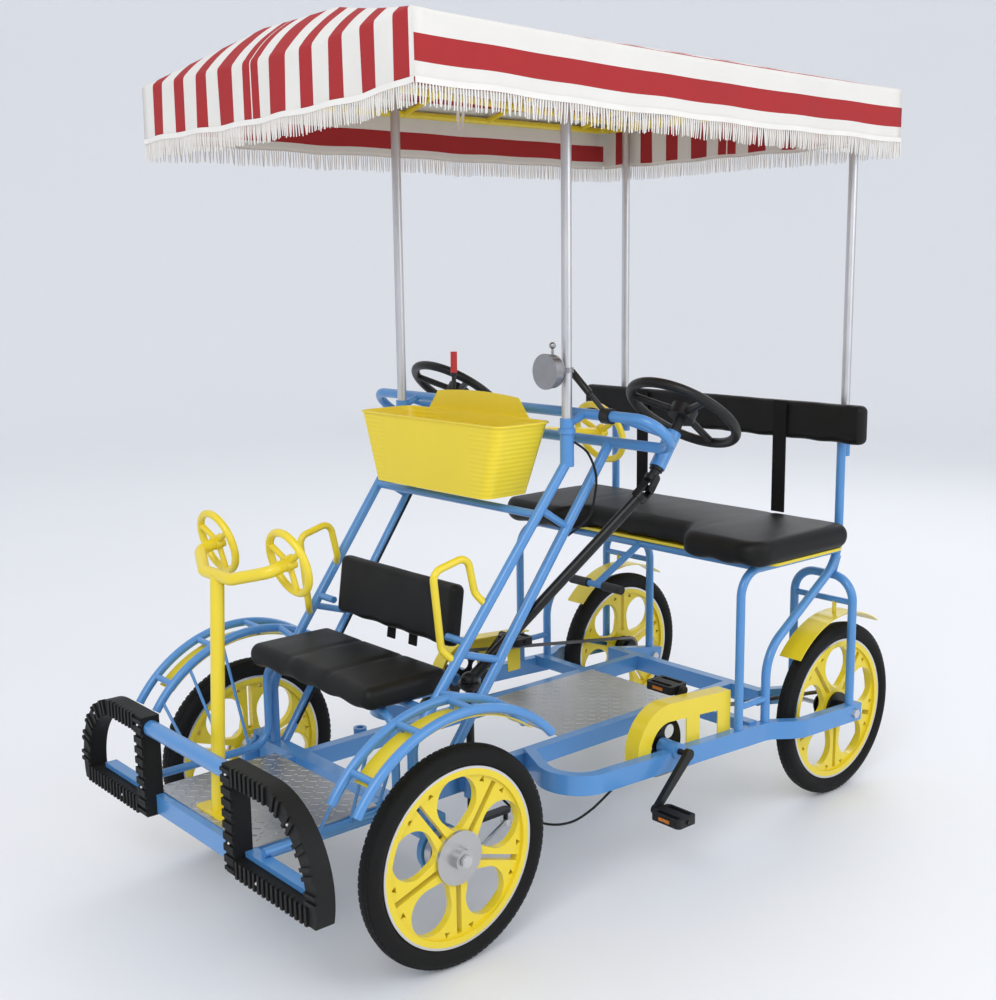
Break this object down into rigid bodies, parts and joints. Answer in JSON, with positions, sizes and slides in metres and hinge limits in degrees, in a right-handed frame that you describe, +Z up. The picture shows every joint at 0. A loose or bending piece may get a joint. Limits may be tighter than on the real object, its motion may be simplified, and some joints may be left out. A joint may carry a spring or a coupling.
{
  "type": "quadricycle",
  "caption": "Pedal quadricycle: open tube frame on spoked wheels, bench for adults, front seat for children, basket, twin steering wheels and a striped canopy with fringe.",
  "frame": {"origin": "on the floor, under the middle of the vehicle", "axes": "+X forward, +Y to the vehicle's left, +Z up"},
  "size_m": [2.1199, 1.199, 2.0849],
  "materials": {
    "blue_paint": "gloss",
    "yellow_paint": "gloss",
    "yellow_plastic": "satin",
    "black_metal": "satin",
    "black_vinyl": "grained",
    "black_rubber": "matte",
    "black_plastic": "satin",
    "tyre_rubber": "matte",
    "aluminium": "checkered",
    "bright_steel": "zinc plated",
    "canopy_stripes": "woven, red and white stripes",
    "white_fringe": "cotton fringe",
    "black_webbing": "woven"
  },
  "bodies": {
    "frame": {"basket": "yellow_plastic", "bell": "bright_steel", "bench_backrest": "black_vinyl", "bench_cushion": "black_vinyl", "bench_frames": "blue_paint", "bench_pan": "yellow_paint", "bumper_pads": "black_rubber", "bumper_tube": "blue_paint", "cables": "black_rubber", "canopy_cloth": "canopy_stripes", "canopy_frame": "yellow_paint", "canopy_fringe": "white_fringe", "canopy_posts": "bright_steel", "canopy_valance": "canopy_stripes", "chain_guards": "yellow_paint", "chains": "bright_steel", "chassis": "blue_paint", "child_backrest": "black_vinyl", "child_cushion": "black_vinyl", "child_seat_frame": "blue_paint", "dash_loop": "blue_paint", "fender_guards": "blue_paint", "floor_plates": "aluminium", "footrest": "blue_paint", "front_fenders": "yellow_paint", "grab_loops": "yellow_paint", "levers": "black_metal", "middle_toy": "yellow_paint", "rear_axles": "bright_steel", "rear_fenders": "yellow_paint", "seat_straps": "black_webbing", "towers": "blue_paint", "toy_steering": "yellow_paint"},
    "knuckle_left": {"knuckle_left": "blue_paint"},
    "knuckle_right": {"knuckle_right": "blue_paint"},
    "steering_rods": {"tie_rod": "bright_steel", "drag_link": "bright_steel"},
    "steering_spindle": {"steering_spindle": "black_metal"},
    "steering_shaft": {"steering_shaft": "black_metal"},
    "steering_wheel_left": {"steering_wheel_left": "black_plastic"},
    "steering_wheel_right": {"steering_wheel_right": "black_plastic"},
    "wheel_front_left": {"tyre_front_left": "tyre_rubber", "rim_front_left": "yellow_paint", "hub_front_left": "aluminium"},
    "wheel_front_right": {"tyre_front_right": "tyre_rubber", "rim_front_right": "yellow_paint", "hub_front_right": "aluminium"},
    "wheel_rear_left": {"tyre_rear_left": "tyre_rubber", "rim_rear_left": "yellow_paint", "hub_rear_left": "black_metal"},
    "wheel_rear_right": {"tyre_rear_right": "tyre_rubber", "rim_rear_right": "yellow_paint", "hub_rear_right": "black_metal"},
    "crankset_left": {"crankset_left": "bright_steel"},
    "pedal_left_outer": {"pedal_left_outer": "black_plastic"},
    "pedal_left_inner": {"pedal_left_inner": "black_plastic"},
    "crankset_right": {"crankset_right": "bright_steel"},
    "pedal_right_outer": {"pedal_right_outer": "black_plastic"},
    "pedal_right_inner": {"pedal_right_inner": "black_plastic"}
  },
  "joints": [
    {"name": "steer_left", "type": "hinge", "parent": "frame", "child": "knuckle_left", "pos_m": [0.635, 0.35, 0.2625], "axis": [0, 0, 1], "range_deg": [-25, 25]},
    {"name": "steer_right", "type": "hinge", "parent": "frame", "child": "knuckle_right", "pos_m": [0.635, -0.35, 0.2625], "axis": [0, 0, 1], "range_deg": [-25, 25]},
    {"name": "rods_swing", "type": "hinge", "parent": "knuckle_left", "child": "steering_rods", "pos_m": [0.525, 0.35, 0.1775], "axis": [0, 0, 1], "range_deg": [-25, 25]},
    {"name": "spindle_turn", "type": "hinge", "parent": "frame", "child": "steering_spindle", "pos_m": [0.415, 0.235, 0.293], "axis": [0, 0, 1], "range_deg": [-25, 25]},
    {"name": "shaft_turn", "type": "hinge", "parent": "frame", "child": "steering_shaft", "pos_m": [0.015, 0.44, 1.007], "axis": [-0.6317, 0.3238, 0.7044], "range_deg": [-25, 25]},
    {"name": "left_wheel_steer", "type": "hinge", "parent": "frame", "child": "steering_wheel_left", "pos_m": [-0.113, 0.44, 1.179], "axis": [-0.597, 0, 0.8022], "range_deg": [-25, 25]},
    {"name": "right_wheel_steer", "type": "hinge", "parent": "frame", "child": "steering_wheel_right", "pos_m": [-0.113, -0.44, 1.179], "axis": [-0.597, 0, 0.8022], "continuous": true},
    {"name": "wheel_front_left_spin", "type": "hinge", "parent": "knuckle_left", "child": "wheel_front_left", "pos_m": [0.635, 0.444, 0.255], "axis": [0, 1, 0], "continuous": true},
    {"name": "wheel_front_right_spin", "type": "hinge", "parent": "knuckle_right", "child": "wheel_front_right", "pos_m": [0.635, -0.444, 0.255], "axis": [0, 1, 0], "continuous": true},
    {"name": "wheel_rear_left_spin", "type": "hinge", "parent": "frame", "child": "wheel_rear_left", "pos_m": [-0.805, 0.431, 0.255], "axis": [0, 1, 0], "continuous": true},
    {"name": "wheel_rear_right_spin", "type": "hinge", "parent": "frame", "child": "wheel_rear_right", "pos_m": [-0.805, -0.431, 0.255], "axis": [0, 1, 0], "continuous": true},
    {"name": "crank_left", "type": "hinge", "parent": "frame", "child": "crankset_left", "pos_m": [-0.092, 0.43, 0.31222], "axis": [0, 1, 0], "continuous": true},
    {"name": "pedal_left_outer_spin", "type": "hinge", "parent": "crankset_left", "child": "pedal_left_outer", "pos_m": [0.02867, 0.5485, 0.19969], "axis": [0, 1, 0], "continuous": true},
    {"name": "pedal_left_inner_spin", "type": "hinge", "parent": "crankset_left", "child": "pedal_left_inner", "pos_m": [-0.21267, 0.3065, 0.42475], "axis": [0, 1, 0], "continuous": true},
    {"name": "crank_right", "type": "hinge", "parent": "frame", "child": "crankset_right", "pos_m": [-0.092, -0.43, 0.31222], "axis": [0, 1, 0], "continuous": true},
    {"name": "pedal_right_outer_spin", "type": "hinge", "parent": "crankset_right", "child": "pedal_right_outer", "pos_m": [0.02867, -0.5485, 0.19969], "axis": [0, 1, 0], "continuous": true},
    {"name": "pedal_right_inner_spin", "type": "hinge", "parent": "crankset_right", "child": "pedal_right_inner", "pos_m": [-0.21267, -0.3065, 0.42475], "axis": [0, 1, 0], "continuous": true}
  ],
  "couplings": [
    {"joint": "steer_right", "follows": "steer_left", "ratio": 1},
    {"joint": "rods_swing", "follows": "steer_left", "ratio": -1},
    {"joint": "spindle_turn", "follows": "steer_left", "ratio": 1},
    {"joint": "shaft_turn", "follows": "steer_left", "ratio": 1},
    {"joint": "left_wheel_steer", "follows": "steer_left", "ratio": 1}
  ]
}
